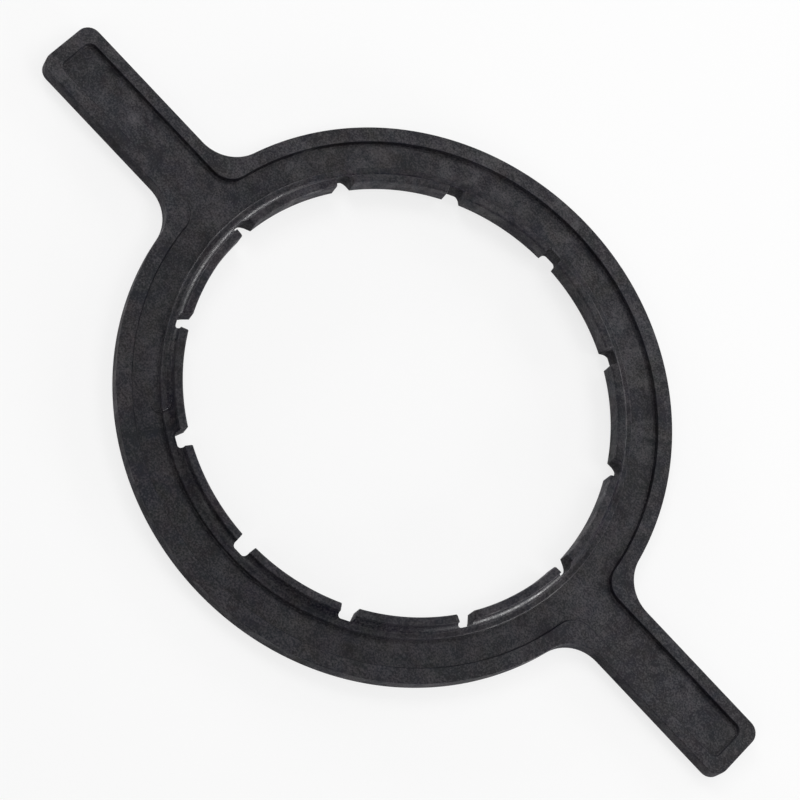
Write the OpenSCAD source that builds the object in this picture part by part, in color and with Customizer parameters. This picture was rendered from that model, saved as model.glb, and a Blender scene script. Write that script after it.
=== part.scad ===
// Two-handled ring wrench for the threaded closure of a filter housing, moulded in one piece.
// The ring's axis is Z, the handles lie along X and the flat underside is at Z = 0. Lengths are in millimetres.

/* [Ring] */
// Height of the raised rims above the underside
rim_h = 9.4; // [8:0.1:14]
// Width of the flat top of the inner rim, outside the lip's cove
inner_rim_w = 2.6; // [1.5:0.1:8]
// Width of the pocket around the ring
ring_pocket_w = 13.9; // [8:0.1:24]
// Width of the raised outer rim around the ring
ring_rim_w = 8; // [5:0.5:12]
// Depth of the pocket between the rims
pocket_depth = 2.8; // [1:0.1:5]

/* [Toothed lip] */
// Diameter of the hole inside the lip
hole_d = 224.4; // [180:0.2:260]
// Radial thickness of the lip
lip_t = 4.3; // [3.2:0.1:6]
// Height of the lip above the rims
lip_rise = 5.7; // [4.6:0.1:9]
// Radius of the cove at the lip's outer foot
cove_r = 3; // [1:0.1:4]
// Radius of the lip's inner top edge
lip_inner_edge_r = 1.1; // [0.4:0.1:1.5]
// Radius of the lip's outer top edge
lip_outer_edge_r = 0.4; // [0.2:0.1:1.5]
// Radial width of the lead-in chamfer under the lip
lead_in_w = 5.6; // [2:0.1:6]
// Height of the lead-in chamfer under the lip
lead_in_h = 4.7; // [2:0.1:7]

/* [Notches] */
// Number of notches around the lip
notch_count = 12; // [6:1:16]
// Width of a notch at the lip's inner face
notch_mouth_w = 9; // [7:0.1:12]
// Width of a notch at its floor
notch_floor_w = 8.4; // [6:0.1:11]
// Radial depth of a notch from the lip's inner face
notch_depth = 6.2; // [5:0.1:8]
// Radial depth of the flare at the mouth of a notch
notch_flare_d = 3; // [1:0.1:3.2]
// Corner radius at the floor of a notch
notch_corner_r = 1.8; // [0.6:0.1:2.5]

/* [Handles] */
// Length of a handle from the ring's outside to its tip
handle_l = 99.2; // [60:0.2:140]
// Width of a handle
handle_w = 34.7; // [28:0.1:44]
// Corner radius at the tip of a handle
tip_r = 6.9; // [3:0.1:12]
// Fillet radius between a handle and the ring
root_r = 21.6; // [8:0.1:32]
// Width of the raised rim along the sides of a handle
handle_rim_w = 6.7; // [4:0.1:9]
// Width of the raised rim at the tip of a handle
tip_rim_w = 7.8; // [4:0.1:14]
// Corner radius of the pocket at the tip of a handle
pocket_tip_r = 4; // [1:0.1:4.8]
// Fillet radius of the pocket where a handle meets the ring
pocket_root_r = 12; // [4:0.1:24]

/* [Hidden] */
$fn = 96;

lip_r = hole_d / 2;
lip_outer_r = lip_r + lip_t;
lip_top = rim_h + lip_rise;
inner_rim_r = lip_outer_r + cove_r + inner_rim_w;
pocket_ring_r = inner_rim_r + ring_pocket_w;
ring_r = pocket_ring_r + ring_rim_w;
notch_floor_r = lip_r + notch_depth;
half_l = ring_r + handle_l;
pocket_floor = rim_h - pocket_depth;
pocket_half_w = handle_w / 2 - handle_rim_w;
pocket_half_l = half_l - tip_rim_w;

// How far cutters run past the faces they cut
overrun = 2;
// How far the lip's ring is sunk into the plate that carries it
lip_root = 1;

// Bar along +X from one reach to another, with two rounded corners at its far end
module rounded_bar(start, reach, half_w, corner_r) {
    translate([start, -half_w])
        square([reach - corner_r - start, 2 * half_w]);
    translate([start, corner_r - half_w])
        square([reach - start, 2 * (half_w - corner_r)]);
    for (side = [-1, 1])
        translate([reach - corner_r, side * (half_w - corner_r)])
            circle(corner_r);
}

// Concave fillet on the +Y side between a disc on the ring's axis and a bar along +X
module root_fillet(disc_r, half_w, fillet_r) {
    centre = [sqrt(pow(disc_r + fillet_r, 2) - pow(half_w + fillet_r, 2)), half_w + fillet_r];
    on_disc = centre * disc_r / (disc_r + fillet_r);
    difference() {
        polygon([[on_disc.x, 0], [centre.x, 0], [centre.x, half_w], on_disc]);
        translate(centre)
            circle(fillet_r);
    }
}

// Disc with a rounded bar on both sides, blended by fillets
module handled_disc(disc_r, reach, half_w, corner_r, fillet_r) {
    circle(disc_r);
    for (turn = [0, 180])
        rotate(turn) {
            rounded_bar(0, reach, half_w, corner_r);
            for (flip = [0, 1])
                mirror([0, flip])
                    root_fillet(disc_r, half_w, fillet_r);
        }
}

// Half section of the lip: a wall with rounded top edges and a cove at its outer foot
module lip_section() {
    difference() {
        translate([lip_r, rim_h - lip_root])
            square([lip_t, lip_root + lip_rise]);
        translate([lip_r, lip_top])
            edge_waste(lip_inner_edge_r);
        translate([lip_outer_r, lip_top])
            mirror([1, 0])
                edge_waste(lip_outer_edge_r);
    }
    difference() {
        translate([lip_outer_r, rim_h - lip_root])
            square([cove_r, lip_root + cove_r]);
        translate([lip_outer_r + cove_r, rim_h + cove_r])
            circle(cove_r);
    }
}

// What a rounded edge takes off a corner whose sides run right and down from the origin
module edge_waste(edge_r) {
    difference() {
        translate([-overrun, -edge_r])
            square([edge_r + overrun, edge_r + overrun]);
        translate([edge_r, -edge_r])
            circle(edge_r);
    }
}

// Outline of one notch on +X: a slot with rounded corners at its floor and flared sides at its mouth
module notch_outline() {
    inner_x = lip_r - overrun;
    flare = (notch_mouth_w - notch_floor_w) / 2 / notch_flare_d;
    sink = notch_flare_d / 4;
    inner_y = notch_mouth_w / 2 + flare * overrun;
    outer_x = lip_r + notch_flare_d + sink;
    outer_y = notch_floor_w / 2 - flare * sink;
    rounded_bar(inner_x, notch_floor_r, notch_floor_w / 2, notch_corner_r);
    polygon([[inner_x, -inner_y], [outer_x, -outer_y], [outer_x, outer_y], [inner_x, inner_y]]);
}

// Hole through the ring, with the lead-in chamfer that guides it over the closure
module bore_cutter() {
    translate([0, 0, -overrun])
        cylinder(h = rim_h + 2 * overrun, r = lip_r);
    translate([0, 0, -overrun])
        cylinder(h = lead_in_h + overrun, r1 = lip_r + lead_in_w * (1 + overrun / lead_in_h), r2 = lip_r);
}

// Plate of the ring and handles, with its pocket between the rims
module plate() {
    difference() {
        linear_extrude(rim_h)
            handled_disc(ring_r, half_l, handle_w / 2, tip_r, root_r);
        translate([0, 0, pocket_floor])
            linear_extrude(pocket_depth + overrun)
                difference() {
                    handled_disc(pocket_ring_r, pocket_half_l, pocket_half_w, pocket_tip_r, pocket_root_r);
                    circle(inner_rim_r);
                }
        bore_cutter();
    }
}

module wrench_body() {
    color([0.17, 0.17, 0.18])
        difference() {
            union() {
                plate();
                rotate_extrude()
                    lip_section();
            }
            for (i = [0 : notch_count - 1])
                rotate(i * 360 / notch_count)
                    translate([0, 0, -overrun])
                        linear_extrude(lip_top + 2 * overrun)
                            notch_outline();
        }
}

wrench_body();
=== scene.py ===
import math

import bpy
import numpy as np
from mathutils import Matrix, Vector


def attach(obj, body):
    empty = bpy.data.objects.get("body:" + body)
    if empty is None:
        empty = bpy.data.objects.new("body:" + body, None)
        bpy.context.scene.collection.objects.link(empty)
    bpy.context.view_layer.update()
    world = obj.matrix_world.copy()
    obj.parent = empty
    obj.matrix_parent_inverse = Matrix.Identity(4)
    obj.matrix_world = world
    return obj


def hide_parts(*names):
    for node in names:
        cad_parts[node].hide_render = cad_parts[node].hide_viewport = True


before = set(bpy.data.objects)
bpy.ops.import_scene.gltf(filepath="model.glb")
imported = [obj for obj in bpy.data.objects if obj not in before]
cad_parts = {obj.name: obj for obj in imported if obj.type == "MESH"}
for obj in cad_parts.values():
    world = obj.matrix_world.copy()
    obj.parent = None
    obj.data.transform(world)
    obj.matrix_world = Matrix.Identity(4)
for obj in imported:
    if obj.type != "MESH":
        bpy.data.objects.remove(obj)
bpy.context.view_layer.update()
print("frame loaded")

millimetre = 0.001


# Wrench moulding: sizes in millimetres, the same as the solid's but for a shallower cove, slightly larger
# corners at the notches' floors and the small edge radii and fillets of the mould
wrench = {
    "holeR": 112.2, "lipT": 4.3, "lipRise": 5.7, "leadW": 5.6, "leadH": 4.7,
    "coveR": 3.0, "coveTurn": 50, "innerRimW": 2.6, "pocketW": 13.9, "ringRimW": 8.0,
    "rimH": 9.4, "pocketDepth": 2.8,
    "notchCount": 12, "mouthW": 9.0, "floorW": 8.4, "notchDepth": 6.2,
    "handleL": 99.2, "handleW": 34.7, "tipR": 6.9, "rootR": 21.6,
    "handleRimW": 6.7, "tipRimW": 7.8, "pocketTipR": 4.0, "pocketRootR": 12.0,
    # Edge radii and fillets
    "lipInnerEdge": 1.1, "lipOuterEdge": 0.45, "lipEndEdge": 0.4, "leadEdge": 0.3,
    "topEdge": 0.35, "baseEdge": 0.4, "pocketEdge": 0.42, "innerEdge": 0.6,
    "pocketFillet": 0.9, "innerFillet": 0.4,
    # How near its foot the lip's end rounding fades, and how deep into the lip its outer wall counts
    "endFade": 1.2, "wallReach": 0.6,
    # Widths of the strips of faces beside the edges, and the chamfer's least width at a notch
    "support": 0.15, "footSupport": 0.4, "footMargin": 0.25,
    # Columns of half a notch's share of the ring, without and with a handle, and steps of the section
    "plainColumns": (4, 6, 22), "handleColumns": (6, 8, 24, 16, 10),
    "lipEndShares": (0.12, 0.3, 0.6, 1.0), "floorShares": (0, 0.33, 0.67, 1),
    "coveSteps": 8, "arcSteps": 6, "footSteps": 3, "chamferSteps": 5, "noseSteps": 3, "lipSteps": 4,
    "notchSteps": 5,
}
wrench["lipR"] = wrench["holeR"] + wrench["lipT"]
wrench["leadR"] = wrench["holeR"] + wrench["leadW"]
wrench["coveEndR"] = wrench["lipR"] + wrench["coveR"]
wrench["innerRimR"] = wrench["coveEndR"] + wrench["innerRimW"]
wrench["pocketR"] = wrench["innerRimR"] + wrench["pocketW"]
wrench["ringR"] = wrench["pocketR"] + wrench["ringRimW"]
wrench["reach"] = wrench["ringR"] + wrench["handleL"]
wrench["lipTop"] = wrench["rimH"] + wrench["lipRise"]
wrench["pocketFloor"] = wrench["rimH"] - wrench["pocketDepth"]
wrench["notchFloorX"] = wrench["holeR"] + wrench["notchDepth"]

# Half a notch's share of the ring ends at endAngle, and the lip's outer wall runs there from sideAngle
wrench["endAngle"] = math.pi / wrench["notchCount"]
wrench["sideAngle"] = math.asin(wrench["floorW"] / 2 / wrench["lipR"])
wrench["lipLength"] = wrench["lipR"] * (wrench["endAngle"] - wrench["sideAngle"])

# The cove is an arc of coveTurn degrees, as wide as it is high, from the lip's wall to the inner rim
wrench["coveTop"] = wrench["rimH"] + wrench["coveR"]
wrench["coveStart"] = math.radians(45 - wrench["coveTurn"] / 2)
wrench["coveArcR"] = wrench["coveR"] / (math.cos(wrench["coveStart"]) - math.sin(wrench["coveStart"]))
wrench["coveMidR"] = wrench["lipR"] + wrench["coveArcR"] * math.cos(wrench["coveStart"])
wrench["coveMidZ"] = wrench["coveTop"] + wrench["coveArcR"] * math.sin(wrench["coveStart"])


def evenSteps(start, stop, count):
    # Evenly spaced values from start to stop, with both of them
    return np.linspace(start, stop, count + 1)


def direction(angle):
    # Unit vectors in the plane, one for each angle
    return np.stack([np.cos(angle), np.sin(angle)], 1)


def quarterCircle(size):
    # Shares of a radius along a quarter circle: 1 - cos of the turn, growing, and 1 - sin of it, shrinking
    turn = evenSteps(0, math.pi / 2, size["arcSteps"])
    return np.stack([1 - np.cos(turn), 1 - np.sin(turn)], 1)


def handledCurve(discR, reach, halfW, cornerR, filletR, endAngle, counts):
    # Half of a disc-with-handle outline, from the middle of the tip to endAngle on the disc, as points and
    # outward normals: a straight tip, a quarter circle, a straight side, a concave arc that touches side
    # and disc, then the disc
    tipCount, cornerCount, sideCount, rootCount, discCount = counts
    corner = np.array([reach - cornerR, halfW - cornerR])
    centre = np.array([math.sqrt((discR + filletR) ** 2 - (halfW + filletR) ** 2), halfW + filletR])
    touch = math.atan2(centre[1], centre[0])
    tipY = evenSteps(0, corner[1], tipCount)[:-1]
    cornerTurn = evenSteps(0, math.pi / 2, cornerCount)[:-1]
    sideX = evenSteps(corner[0], centre[0], sideCount)[:-1]
    rootTurn = evenSteps(-math.pi / 2, touch - math.pi, rootCount)[:-1]
    discTurn = evenSteps(touch, endAngle, discCount)
    points = np.concatenate([
        np.stack([np.full(tipCount, reach), tipY], 1), corner + cornerR * direction(cornerTurn),
        np.stack([sideX, np.full(sideCount, halfW)], 1), centre + filletR * direction(rootTurn),
        discR * direction(discTurn)])
    normals = np.concatenate([
        np.tile([1.0, 0.0], (tipCount, 1)), direction(cornerTurn),
        np.tile([0.0, 1.0], (sideCount, 1)), -direction(rootTurn),
        direction(discTurn)])
    return points, normals


def sectorColumns(size, handled):
    # Columns of half a notch's share of the ring, from the notch's middle to the middle of the lip between
    # notches. Each has its place on the notch's edge or its share of the lip, and its points on the
    # pocket's and the plate's outlines. The notch's corner ends where the lip's outer wall begins.
    counts = size["handleColumns"] if handled else size["plainColumns"]
    endAngle, sideAngle = size["endAngle"], size["sideAngle"]
    halfFloor = size["floorW"] / 2
    startX = math.sqrt(size["lipR"] ** 2 - halfFloor ** 2)
    cornerR = size["notchFloorX"] - startX
    flat = evenSteps(0, halfFloor - cornerR, counts[0])[:-1]
    turn = evenSteps(0, math.pi / 2, counts[1])
    edgeX = np.concatenate([np.full(counts[0], size["notchFloorX"]), startX + cornerR * np.cos(turn)])
    edgeY = np.concatenate([flat, halfFloor - cornerR + cornerR * np.sin(turn)])
    rounding = size["lipEndEdge"] * np.array(size["lipEndShares"]) / size["lipLength"]
    lipCount = sum(counts[2:])
    if handled:
        pocket, pocketN = handledCurve(
            size["pocketR"], size["reach"] - size["tipRimW"], size["handleW"] / 2 - size["handleRimW"],
            size["pocketTipR"], size["pocketRootR"], endAngle, counts)
        outer, outerN = handledCurve(
            size["ringR"], size["reach"], size["handleW"] / 2,
            size["tipR"], size["rootR"], endAngle, counts)
        polar = np.arctan2(pocket[:, 1], pocket[:, 0])
        share = (polar[-lipCount:] - polar[-lipCount - 1]) / (endAngle - polar[-lipCount - 1])
        share[:len(rounding)] = rounding
    else:
        share = np.concatenate([rounding, evenSteps(rounding[-1], 1, lipCount - len(rounding))[1:]])
    edgeAngle = np.concatenate([np.arctan2(edgeY, edgeX), sideAngle + share * (endAngle - sideAngle)])
    edgeR = np.concatenate([np.hypot(edgeX, edgeY), np.full(lipCount, size["lipR"])])
    share = np.concatenate([np.zeros(len(edgeX)), share])
    if not handled:
        pocketN = outerN = direction(edgeAngle)
        pocket, outer, polar = size["pocketR"] * pocketN, size["ringR"] * outerN, edgeAngle
    return {"share": share, "edgeAngle": edgeAngle, "edgeR": edgeR, "polar": polar, "pocket": pocket,
            "pocketN": pocketN, "outer": outer, "outerN": outerN,
            "inNotch": np.arange(len(share)) < counts[0] + counts[1]}


def allColumns(size):
    # The half shares laid round the ring in turn, every second one mirrored, so that they go once round
    halves = {handled: sectorColumns(size, handled) for handled in (False, True)}
    sectors = []
    for place in range(2 * size["notchCount"]):
        mirrored = place % 2 == 1
        notch = (place + 1) // 2
        half = halves[notch % (size["notchCount"] // 2) == 0]
        last = len(half["share"]) - 1
        order = np.arange(last, 0, -1) if mirrored else np.arange(last)
        sign = -1.0 if mirrored else 1.0
        base = notch * 2 * math.pi / size["notchCount"]
        spin = np.array([[math.cos(base), math.sin(base)], [-math.sin(base) * sign, math.cos(base) * sign]])
        sector = {
            "base": np.full(last, base), "sign": np.full(last, sign),
            "share": half["share"][order], "edgeR": half["edgeR"][order],
            "edgeAngle": base + sign * half["edgeAngle"][order],
            "polar": base + sign * half["polar"][order],
            "notchSpan": half["inNotch"][order - 1 if mirrored else order]}
        for name in ("pocket", "pocketN", "outer", "outerN"):
            sector[name] = half[name][order] @ spin
        sectors.append(sector)
    return {name: np.concatenate([sector[name] for sector in sectors]) for name in sectors[0]}


def ringRow(radius, angle, height):
    # A row of points at a distance from the ring's axis, an angle round it and a height
    return np.stack(np.broadcast_arrays(radius * np.cos(angle), radius * np.sin(angle), height), 1)


def offsetRow(points, normals, distance, height):
    # A row of points, each moved along its normal by a distance, at a height
    return np.column_stack([points + distance * normals, np.full(len(points), height)])


def leadHeight(size, radius):
    # Height of the lead-in chamfer at a distance from the ring's axis: a slope down to the underside
    return np.clip((size["leadR"] - radius) * size["leadH"] / size["leadW"], 0, None)


def sectionRows(size, columns):
    # The section outside the lip as rows of points, in bands that each have a finish of their own. Edges
    # and fillets are quarter circles with a strip of faces beside them.
    quarter = quarterCircle(size)
    strip = size["support"]
    rimZ, floorZ, innerR = size["rimH"], size["pocketFloor"], size["innerRimR"]

    def lipRow(radius, height):
        return ringRow(radius, columns["edgeAngle"], height)

    def rimRow(radius, height):
        return ringRow(radius, columns["polar"], height)

    def pocketRow(distance, height):
        return offsetRow(columns["pocket"], columns["pocketN"], distance, height)

    def outlineRow(distance, height):
        return offsetRow(columns["outer"], columns["outerN"], distance, height)

    # Cove, from the lip's foot or the notch's edge down to the inner rim
    midR, midZ, arcR = size["coveMidR"], size["coveMidZ"], size["coveArcR"]
    startTurn = np.arccos((midR - columns["edgeR"]) / arcR)
    endTurn = math.pi / 2 - size["coveStart"]
    turns = [startTurn + share * (endTurn - startTurn) for share in evenSteps(0, 1, size["coveSteps"])]
    cove = [lipRow(midR - arcR * np.cos(turn), midZ - arcR * np.sin(turn)) for turn in turns]

    # Inner rim, up to its rounded outer edge
    edge = size["innerEdge"]
    middle = ringRow((size["coveEndR"] + innerR) / 2, (columns["edgeAngle"] + columns["polar"]) / 2, rimZ)
    innerRim = [lipRow(size["coveEndR"] + strip, rimZ), middle, rimRow(innerR - edge - strip, rimZ)]

    # Pocket: the inner rim's edge and wall, a fillet, the floor, a fillet and the outer rim's wall
    fillet = size["innerFillet"]
    pocket = [rimRow(innerR - edge * shrinking, rimZ - edge * growing) for growing, shrinking in quarter]
    pocket += [rimRow(innerR, rimZ - edge - strip), rimRow(innerR, floorZ + fillet + strip)]
    pocket += [rimRow(innerR + fillet * growing, floorZ + fillet * shrinking)
               for growing, shrinking in quarter]
    near = rimRow(innerR + fillet + strip, floorZ)
    fillet = size["pocketFillet"]
    far = pocketRow(-fillet - strip, floorZ)
    pocket += [near + share * (far - near) for share in size["floorShares"]]
    pocket += [pocketRow(-fillet * shrinking, floorZ + fillet * growing) for growing, shrinking in quarter]
    edge = size["pocketEdge"]
    pocket += [pocketRow(0, floorZ + fillet + strip), pocketRow(0, rimZ - edge - strip)]
    pocketEdge = [pocketRow(edge * growing, rimZ - edge * shrinking) for growing, shrinking in quarter]

    # Outside: the outer rim, its edge, the outer wall, the base's edge and the base
    near = pocketRow(edge + strip, rimZ)
    edge = size["topEdge"]
    far = outlineRow(-edge - strip, rimZ)
    outside = [near, (near + far) / 2, far]
    outside += [outlineRow(-edge * shrinking, rimZ - edge * growing) for growing, shrinking in quarter]
    outside.append(outlineRow(0, rimZ - edge - strip))
    edge = size["baseEdge"]
    outside.append(outlineRow(0, edge + strip))
    outside += [outlineRow(-edge * growing, edge * shrinking) for growing, shrinking in quarter]
    near, far = outlineRow(-edge - strip, 0), rimRow(innerR, 0)
    outside += [near, (near + far) / 2, far]

    # Foot of the lead-in chamfer, up to the lip's outer wall or the notch's edge
    footR = np.maximum(size["leadR"], columns["edgeR"] + size["footMargin"])
    outside.append(lipRow(footR + size["footSupport"], 0))
    for share in evenSteps(0, 1, size["footSteps"]):
        radius = footR + share * (columns["edgeR"] - footR)
        outside.append(lipRow(radius, leadHeight(size, radius)))
    return {"cove": cove, "innerRim": innerRim, "pocket": pocket, "pocketEdge": pocketEdge,
            "outside": outside}


def lipRows(size, columns):
    # The lip as a profile of radius and height, carried round between the notches: chamfer, its rounded
    # nose, inner wall, rounded top, outer wall
    strip, top = size["support"], size["lipTop"]
    holeR, lipR, leadH = size["holeR"], size["lipR"], size["leadH"]
    noseEdge, innerEdge, outerEdge = size["leadEdge"], size["lipInnerEdge"], size["lipOuterEdge"]
    growing, shrinking = quarterCircle(size).T
    lean = math.atan2(size["leadW"], leadH)
    nose = noseEdge * math.tan(lean / 2)
    noseTurn = evenSteps(lean, 0, size["noseSteps"])
    chamfer = evenSteps(lipR, holeR + nose * math.sin(lean) + strip, size["chamferSteps"])[1:]
    innerWall = evenSteps(leadH + nose + strip, top - innerEdge - strip, size["lipSteps"])
    outerWall = evenSteps(top - outerEdge - strip, size["coveTop"], size["lipSteps"])[:-1]
    profile = np.concatenate([
        np.stack([chamfer, leadHeight(size, chamfer)], 1),
        np.array([holeR + noseEdge, leadH + nose]) - noseEdge * direction(noseTurn),
        np.stack([np.full_like(innerWall, holeR), innerWall], 1),
        np.stack([holeR + innerEdge * growing, top - innerEdge * shrinking], 1),
        [[holeR + innerEdge + strip, top], [lipR - outerEdge - strip, top]],
        np.stack([lipR - outerEdge * shrinking, top - outerEdge * growing], 1),
        np.stack([np.full_like(outerWall, lipR), outerWall], 1)])

    # At a notch the profile sinks into the material by a quarter circle, which fades out at the lip's feet
    along = np.gradient(profile, axis=0)
    along /= np.linalg.norm(along, axis=1)[:, None]
    inward = np.stack([along[:, 1], -along[:, 0]], 1)  # right of the way the profile runs
    fromEnd = np.clip(columns["share"] * size["lipLength"] / size["lipEndEdge"], 0, 1)
    sink = size["lipEndEdge"] * (1 - np.sqrt(1 - (1 - fromEnd) ** 2))
    onWall = profile[:, 0] >= lipR - size["wallReach"]
    toCove = np.where(onWall, np.abs(profile[:, 1] - size["coveTop"]), np.inf)
    toFoot = np.hypot(profile[:, 0] - lipR, profile[:, 1] - leadHeight(size, lipR))
    fade = np.clip(np.minimum(toCove, toFoot) / size["endFade"], 0, 1)[:, None]
    radius = profile[:, :1] + inward[:, :1] * sink * fade
    height = profile[:, 1:] + inward[:, 1:] * sink * fade

    # The notch narrows from its mouth to the lip's outer wall
    halfMouth, halfFloor = size["mouthW"] / 2, size["floorW"] / 2
    halfWidth = halfMouth + (halfFloor - halfMouth) * (profile[:, :1] - holeR) / size["lipT"]
    side = np.arcsin(halfWidth / profile[:, :1])
    angle = columns["base"] + columns["sign"] * (side + columns["share"] * (size["endAngle"] - side))
    return np.stack([radius * np.cos(angle), radius * np.sin(angle), height], 2)


def wrenchMesh(size):
    # One closed surface: a section carried round the ring's axis, whose outer rows follow the pocket's and
    # the plate's outlines and whose inner rows either climb over the lip or, in a notch, go up its wall
    columns = allColumns(size)
    section = sectionRows(size, columns)
    outer = np.concatenate([np.stack(rows) for rows in section.values()])
    lip = lipRows(size, columns)
    shares = evenSteps(0, 1, size["notchSteps"])[1:-1, None, None]
    wall = outer[-1] + shares * (outer[0] - outer[-1])
    points = np.concatenate([outer, lip, wall])
    index = np.arange(points.shape[0] * points.shape[1]).reshape(points.shape[:2])
    outerIndex, lipIndex, wallIndex = np.split(index, [len(outer), len(outer) + len(lip)])
    lipIndex = np.concatenate([outerIndex[-1:], lipIndex, outerIndex[:1]])
    wallIndex = np.concatenate([outerIndex[-1:], wallIndex, outerIndex[:1]])

    def quads(rows, spans):
        right = np.roll(rows, -1, axis=1)
        cells = np.stack([rows[:-1], right[:-1], right[1:], rows[1:]], 2)
        return cells[:, spans].reshape(-1, 4)

    notchSpan = columns["notchSpan"]
    everySpan = np.ones_like(notchSpan)
    faces = {}
    reached = 0
    for band, rows in section.items():  # each band starts from the last row of the one before
        first = max(reached - 1, 0)
        reached += len(rows)
        faces[band] = quads(outerIndex[first:reached], everySpan)
    faces["lip"] = quads(lipIndex, ~notchSpan)
    faces["notchWall"] = quads(wallIndex, notchSpan)
    before = np.roll(notchSpan, 1)
    lipStarts, lipStops = np.flatnonzero(before & ~notchSpan), np.flatnonzero(~before & notchSpan)
    ends = [np.concatenate([lipIndex[:, column], wallIndex[-2:0:-1, column]]) for column in lipStarts]
    ends += [np.concatenate([lipIndex[::-1, column], wallIndex[1:-1, column]]) for column in lipStops]
    return points.reshape(-1, 3) * millimetre, faces, ends


# Shading of all pieces: the angle in degrees from which an edge is sharp, and the upward part of a face's
# normal up to which the face is a full wall and from which it is no wall
shading = {"sharpAngle": 38, "wallRise": 0.1, "slopeRise": 0.6}


def solidObject(name, points, faces, ends, finish):
    # Fills a mesh with the groups of quads and the flat many-sided ends, without the points that no face
    # uses. The attribute dullness is 1 on full walls, falling to 0 on faces that are no walls, times the
    # group's wall dullness, plus the group's own dullness. The attribute painted_shade is the group's own
    # painted shade, which darkens its colour.
    quads = np.concatenate(list(faces.values()))
    used, corners = np.unique(np.concatenate([quads.ravel(), *ends]), return_inverse=True)
    sizes = np.array([4] * len(quads) + [len(end) for end in ends])
    mesh = bpy.data.meshes.new(name)
    mesh.vertices.add(len(used))
    mesh.vertices.foreach_set("co", points[used].astype(np.float32).ravel())
    mesh.loops.add(len(corners))
    mesh.loops.foreach_set("vertex_index", corners.astype(np.int32))
    mesh.polygons.add(len(sizes))
    mesh.polygons.foreach_set("loop_start", (np.cumsum(sizes) - sizes).astype(np.int32))
    mesh.update(calc_edges=True)
    mesh.validate(verbose=True)
    mesh.shade_smooth()
    mesh.set_sharp_from_angle(angle=math.radians(shading["sharpAngle"]))
    normals = np.empty(3 * len(sizes), np.float32)
    mesh.polygons.foreach_get("normal", normals)
    rise = np.abs(normals[2::3])
    steep = np.clip((shading["slopeRise"] - rise) / (shading["slopeRise"] - shading["wallRise"]), 0, 1)
    counts = {group: len(cells) for group, cells in faces.items()}
    counts["end"] = len(ends)

    def perFace(trait):
        return np.repeat([finish[group][trait] for group in counts], list(counts.values()))

    # painted_shade is a painted shade per group, which darkens the colour
    attributes = {"dullness": steep * perFace("wallDull") + perFace("dull"), "painted_shade": perFace("dark")}
    for label, values in attributes.items():
        mesh.attributes.new(label, "FLOAT", "FACE").data.foreach_set("value", values)
    piece = bpy.data.objects.new(name, mesh)
    bpy.context.scene.collection.objects.link(piece)
    return piece


# Finish of each group of faces: how dull its upright walls are, how dull all of it is, and how much
# painted shade darkens its colour
mouldingFinish = {
    "cove": {"wallDull": 0.0, "dull": -0.22, "dark": 0.0},
    # painted shade: the inner rim's colour is darkened as if in the lip's shadow
    "innerRim": {"wallDull": 0.0, "dull": 0.4, "dark": 0.2},
    "pocket": {"wallDull": 1.2, "dull": 0.0, "dark": 0.0},
    # painted shade: the pocket's outer edge is painted nearly black, a dark line standing in for the shadow
    # along the pocket's wall
    "pocketEdge": {"wallDull": 0.2, "dull": 1.0, "dark": 0.9},
    "outside": {"wallDull": 1.2, "dull": 0.0, "dark": 0.0},
    # painted shade: a little shade is painted on the lip, darkening its colour
    "lip": {"wallDull": 0.6, "dull": 0.25, "dark": 0.12},
    "notchWall": {"wallDull": 1.2, "dull": 0.0, "dark": 0.0},
    "end": {"wallDull": 1.2, "dull": 0.0, "dark": 0.0},
}
moulding = solidObject("wrench_moulding", *wrenchMesh(wrench), mouldingFinish)
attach(moulding, "root")
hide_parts("wrench_body")
print("wrench moulding:", len(moulding.data.vertices), "points,", len(moulding.data.polygons), "faces")


# Ejector marks: fine raised arcs left round the ejector pins, each a thin tube half sunk in the surface.
# Sizes are in millimetres and turns in degrees.
ejectorMarks = {
    "pocket_pin_mark": {"centre": (-77.9, -93.9), "radius": 4.6, "turn": (228, 325),
                        "width": 1.1, "height": 0.30},
    "rim_pin_mark": {"centre": (-77.9, -93.9), "radius": 4.6, "turn": (318, 415),
                     "width": 1.2, "height": 0.55},
}
markTube = {"steps": 40, "sides": 12, "endSwell": 0.1, "swellPower": 0.6}
markFinish = {
    "side": {"wallDull": 0.0, "dull": -0.45, "dark": 0.0},
    "end": {"wallDull": 0.0, "dull": -0.45, "dark": 0.0},
}


def upperFace(size, radius):
    # Height of the upper face at a distance from the ring's axis: cove, then inner rim, then pocket floor
    across = size["coveMidR"] - np.clip(radius, size["lipR"], size["coveEndR"])
    cove = size["coveMidZ"] - np.sqrt(size["coveArcR"] ** 2 - across ** 2)
    return np.where(radius > size["innerRimR"], size["pocketFloor"], cove)


def pinMark(name, mark, tube, size):
    # An ellipse carried along an arc over the upper face, thinner towards both ends
    share = evenSteps(0, 1, tube["steps"])
    turn = np.radians(evenSteps(*mark["turn"], tube["steps"]))
    swell = tube["endSwell"] + (1 - tube["endSwell"]) * np.sin(math.pi * share) ** tube["swellPower"]
    around = evenSteps(0, 2 * math.pi, tube["sides"])[:-1]
    reach = mark["radius"] + np.outer(swell * mark["width"] / 2, np.cos(around))
    x = mark["centre"][0] + reach * np.cos(turn)[:, None]
    y = mark["centre"][1] + reach * np.sin(turn)[:, None]
    middle = np.array(mark["centre"]) + mark["radius"] * direction(turn)
    z = upperFace(size, np.hypot(*middle.T))[:, None] + np.outer(swell * mark["height"], np.sin(around))
    index = np.arange(x.size).reshape(x.shape)
    after = np.roll(index, -1, axis=1)
    sides = np.stack([index[:-1], index[1:], after[1:], after[:-1]], 2).reshape(-1, 4)
    points = np.stack([x, y, z], 2).reshape(-1, 3) * millimetre
    return solidObject(name, points, {"side": sides}, [index[0], index[-1, ::-1]], markFinish)


pinMarks = [pinMark(name, mark, markTube, wrench) for name, mark in ejectorMarks.items()]
for piece in pinMarks:
    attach(piece, "root")
print("ejector marks:", len(pinMarks))


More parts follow.
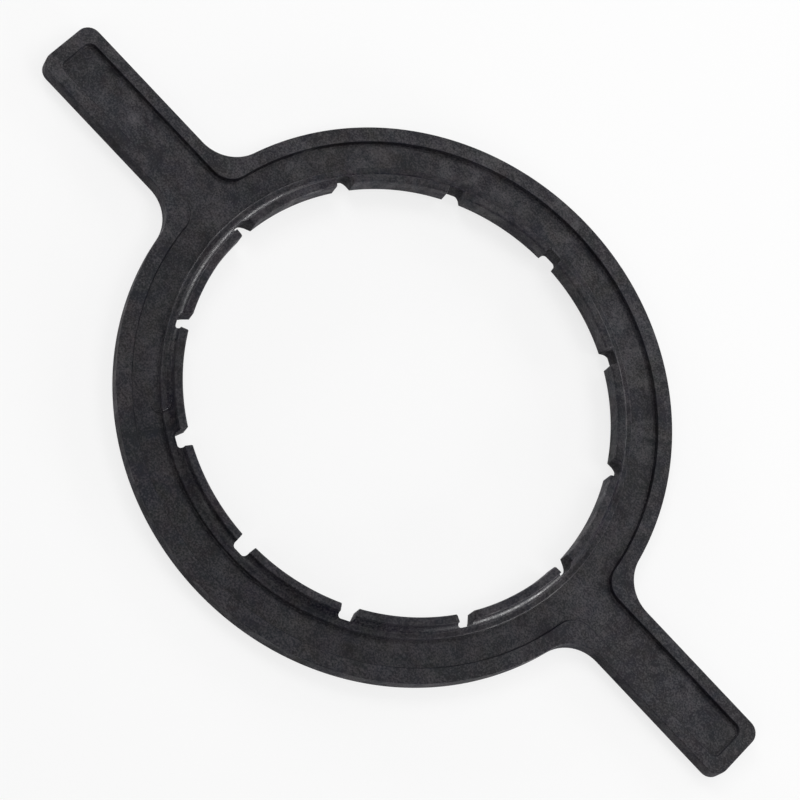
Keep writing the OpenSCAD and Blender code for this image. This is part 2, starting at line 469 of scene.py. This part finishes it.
class Wire:
    # One node socket. Sums, products and the like of wires add Math nodes; make() adds any other node
    def __init__(self, socket):
        self.socket = socket
        self.tree = socket.id_data

    def make(self, kind, settings=None, inputs=None, output=0):
        node = self.tree.nodes.new(kind)
        for name, value in (settings or {}).items():
            setattr(node, name, value)
        for key, value in (inputs or {}).items():
            if isinstance(value, Wire):
                self.tree.links.new(value.socket, node.inputs[key])
            else:
                node.inputs[key].default_value = value
        return Wire(node.outputs[output])

    def math(self, operation, a, b=0.0):
        return self.make("ShaderNodeMath", {"operation": operation}, {0: a, 1: b})

    def __add__(self, other):
        return self.math("ADD", self, other)

    __radd__ = __add__

    def __sub__(self, other):
        return self.math("SUBTRACT", self, other)

    def __rsub__(self, other):
        return self.math("SUBTRACT", other, self)

    def __mul__(self, other):
        return self.math("MULTIPLY", self, other)

    __rmul__ = __mul__


def newMaterial(name):
    material = bpy.data.materials.new(name)
    material.use_nodes = True
    material.node_tree.nodes.clear()
    output = material.node_tree.nodes.new("ShaderNodeOutputMaterial")
    return material, output


# Black moulded plastic: satin skin with a cloudy flow pattern, soft patches, fine grain and a faint blue
# and red cast, each a noise with a gain
plastic = {
    "base": (0.0151, 0.0139, 0.0145, 1), "darkest": 0.1, "blueCast": 0.0038,
    "cloud": {"scale": 90, "detail": 6.0, "roughness": 0.8, "distortion": 0.6, "gain": 7.2},
    "patch": {"scale": 28, "detail": 2.0, "roughness": 0.5, "distortion": 0.8, "gain": 2.6},
    "grain": {"scale": 1100, "detail": 1.0, "roughness": 0.6, "distortion": 0.0, "gain": 7.0},
    "blue": {"scale": 60, "detail": 3.0, "roughness": 0.6, "distortion": 1.0, "gain": 0.0140},
    "red": {"scale": 75, "detail": 3.0, "roughness": 0.6, "distortion": 1.0, "gain": 0.0130},
    "roughness": 0.43, "cloudRoughness": -1.0, "dullRoughness": 0.30, "specular": 0.30,
    "bumpDistance": 0.00012, "grainBump": 0.5,
}

# Scuffs: soft spots where the skin is paler or darker, each a place on the upper face, a radius and a gain
scuffs = {
    "handle_smudge": {"centre": (-0.1920, 0.0002, 0.0066), "radius": 0.0070, "gain": 3.0},
    "root_smear": {"centre": (-0.1236, 0.0576, 0.0094), "radius": 0.0050, "gain": 1.3},
    "far_smudge": {"centre": (-0.0579, 0.1194, 0.0066), "radius": 0.0070, "gain": 1.0},
    "far_patch": {"centre": (-0.0389, 0.1237, 0.0066), "radius": 0.0080, "gain": 0.9},
    "near_smudge": {"centre": (0.0458, -0.1218, 0.0066), "radius": 0.0110, "gain": 0.8},
    "left_patch": {"centre": (-0.1253, -0.0356, 0.0066), "radius": 0.0130, "gain": -0.5},
}


def plasticMaterial(look, spots):
    material, output = newMaterial("black_moulded_plastic")
    start = Wire(material.node_tree.nodes.new("ShaderNodeTexCoord").outputs["Object"])

    def noise(kind):  # less its middle value, so that it swings about zero
        return start.make("ShaderNodeTexNoise", None, {
            "Vector": start, "Scale": kind["scale"], "Detail": kind["detail"],
            "Roughness": kind["roughness"], "Distortion": kind["distortion"]}) - 0.5

    def attribute(name):
        return start.make("ShaderNodeAttribute", {"attribute_name": name}, None, "Fac")

    def blend(kind, first, second):  # a Mix node's colours are its inputs 6 and 7 and its output 2
        return start.make("ShaderNodeMix", {"data_type": "RGBA", "blend_type": kind},
                          {"Factor": 1.0, 6: first, 7: second}, 2)

    cloud, patch, grain = noise(look["cloud"]), noise(look["patch"]), noise(look["grain"])
    blue, red = noise(look["blue"]), noise(look["red"])
    shade = 1.0 + cloud * look["cloud"]["gain"] + patch * look["patch"]["gain"]
    shade = shade + grain * look["grain"]["gain"]
    for spot in spots.values():  # fades from the middle of the spot to its ragged rim
        away = start.make("ShaderNodeVectorMath", {"operation": "DISTANCE"},
                          {0: start, 1: spot["centre"]}, "Value")
        ragged = away + (cloud + blue) * spot["radius"]
        fade = start.make("ShaderNodeMapRange", {"interpolation_type": "SMOOTHSTEP"},
                          {"Value": ragged, "From Min": spot["radius"], "From Max": 0.0})
        shade = shade + fade * spot["gain"]
    # the painted_shade attribute darkens the colour with painted shade
    shade = shade.math("MAXIMUM", shade, look["darkest"]) * (1 - attribute("painted_shade"))
    cast = start.make("ShaderNodeCombineColor", None, {
        "Red": red * look["red"]["gain"], "Blue": look["blueCast"] + blue * look["blue"]["gain"]})
    colour = blend("ADD", blend("MULTIPLY", look["base"], shade), cast)
    rough = look["roughness"] + cloud * look["cloudRoughness"]
    rough = rough + attribute("dullness") * look["dullRoughness"]
    bump = start.make("ShaderNodeBump", None, {
        "Strength": 1.0, "Distance": look["bumpDistance"], "Height": grain * look["grainBump"] + cloud})
    skin = start.make("ShaderNodeBsdfPrincipled", None, {
        "Base Color": colour, "Roughness": rough, "Normal": bump, "Specular IOR Level": look["specular"]})
    material.node_tree.links.new(skin.socket, output.inputs["Surface"])
    return material


blackPlastic = plasticMaterial(plastic, scuffs)
for piece in [moulding] + pinMarks:
    piece.data.materials.append(blackPlastic)
print("black plastic made")


# Floor: a pale sheet far wider than the view, whose glow only the camera and the reflections see
floor = {"size": 8.0, "drop": 0.0002, "colour": (0.95, 0.95, 0.95, 1),
         "glow": 0.75, "glowColour": (1, 1, 1, 1)}


def floorSheet(look):
    half, low = look["size"] / 2, -look["drop"]
    mesh = bpy.data.meshes.new("floor")
    corners = [(-half, -half, low), (half, -half, low), (half, half, low), (-half, half, low)]
    mesh.from_pydata(corners, [], [(0, 1, 2, 3)])
    sheet = bpy.data.objects.new("floor", mesh)
    bpy.context.scene.collection.objects.link(sheet)
    material, output = newMaterial("pale_floor")
    path = material.node_tree.nodes.new("ShaderNodeLightPath")
    rays = ("Is Camera Ray", "Is Glossy Ray", "Is Transmission Ray")
    camera, glossy, through = (Wire(path.outputs[ray]) for ray in rays)
    seen = camera.math("MINIMUM", camera + glossy + through, 1.0)
    matte = camera.make("ShaderNodeBsdfDiffuse", None, {"Color": look["colour"]})
    glow = camera.make("ShaderNodeEmission", None, {"Color": look["glowColour"], "Strength": 1.0})
    both = camera.make("ShaderNodeMixShader", None, {"Fac": seen * look["glow"], 1: matte, 2: glow})
    material.node_tree.links.new(both.socket, output.inputs["Surface"])
    mesh.materials.append(material)
    return sheet


floorSheet(floor)
print("floor made")

# Studio light: a faint even room light, and soft boxes at one distance that all face the object, placed by
# azimuth and elevation in degrees
room = {"colour": (1, 1, 1, 1), "strength": 0.06, "boxDistance": 1.35}
softBoxes = {
    "right_box": {"azimuth": 4, "elevation": 7, "size": (0.6, 0.32), "power": 14.5},
    "left_box": {"azimuth": 166, "elevation": 6.5, "size": (1.1, 0.3), "power": 14.5},
    "right_high_box": {"azimuth": 27, "elevation": 51, "size": (0.6, 0.6), "power": 3.2},
    "left_high_box": {"azimuth": 155, "elevation": 51, "size": (0.6, 0.6), "power": 4.0},
    "back_box": {"azimuth": 86, "elevation": 54, "size": (0.9, 0.6), "power": 3.3},
    "back_low_box": {"azimuth": 72, "elevation": 18, "size": (0.9, 0.25), "power": 4.5},
    "front_box": {"azimuth": 270, "elevation": 42, "size": (0.6, 0.6), "power": 2.0},
    "front_low_box": {"azimuth": 255, "elevation": 15, "size": (0.8, 0.6), "power": 1.6},
    "top_box": {"azimuth": 290, "elevation": 76, "size": (1.0, 0.6), "power": 1.7},
}


def studioLight(around, boxes):
    world = bpy.data.worlds.new("room")
    world.use_nodes = True
    background = world.node_tree.nodes["Background"]
    background.inputs["Color"].default_value = around["colour"]
    background.inputs["Strength"].default_value = around["strength"]
    bpy.context.scene.world = world
    for name, box in boxes.items():
        lamp = bpy.data.lights.new(name, "AREA")
        lamp.shape = "RECTANGLE"
        lamp.size, lamp.size_y = box["size"]
        lamp.energy = box["power"]
        holder = bpy.data.objects.new(name, lamp)
        azimuth, elevation = math.radians(box["azimuth"]), math.radians(box["elevation"])
        level = math.cos(elevation)
        toLamp = Vector((level * math.cos(azimuth), level * math.sin(azimuth), math.sin(elevation)))
        turn = toLamp.to_track_quat("Z", "Y").to_matrix().to_4x4()
        holder.matrix_world = Matrix.Translation(around["boxDistance"] * toLamp) @ turn
        bpy.context.scene.collection.objects.link(holder)


studioLight(room, softBoxes)
print("lights made")

# Camera: where the view was taken from, as its own right, up and backward directions. A pixel is given in
# metres at the centre, the focal length and the offset in pixels, and the sensor in millimetres.
viewpoint = {
    "right": (0.68676, 0.66380, 0.29625), "up": (-0.72683, 0.62145, 0.29245),
    "back": (0.010025, -0.41616, 0.90924), "centre": (0.0, 0.0, 0.0094),
    "pixel": 0.000495, "focalPixels": 3133.0, "offset": (-1.63, -1.62),
    "framePixels": 800, "sensor": 36.0, "farthest": 50,
}


def placeCamera(view):
    lens = bpy.data.cameras.new("camera")
    lens.sensor_width = view["sensor"]
    lens.lens = view["focalPixels"] / view["framePixels"] * view["sensor"]
    lens.clip_end = view["farthest"]
    right, up, back = Vector(view["right"]), Vector(view["up"]), Vector(view["back"])
    fromCentre = view["focalPixels"] * back + view["offset"][0] * right + view["offset"][1] * up
    place = Vector(view["centre"]) + view["pixel"] * fromCentre
    holder = bpy.data.objects.new("camera", lens)
    turn = Matrix((right, up, back)).transposed().to_4x4()
    holder.matrix_world = Matrix.Translation(place) @ turn
    bpy.context.scene.collection.objects.link(holder)
    bpy.context.scene.camera = holder


placeCamera(viewpoint)
bpy.context.scene.view_settings.view_transform = "Standard"
print("camera placed")
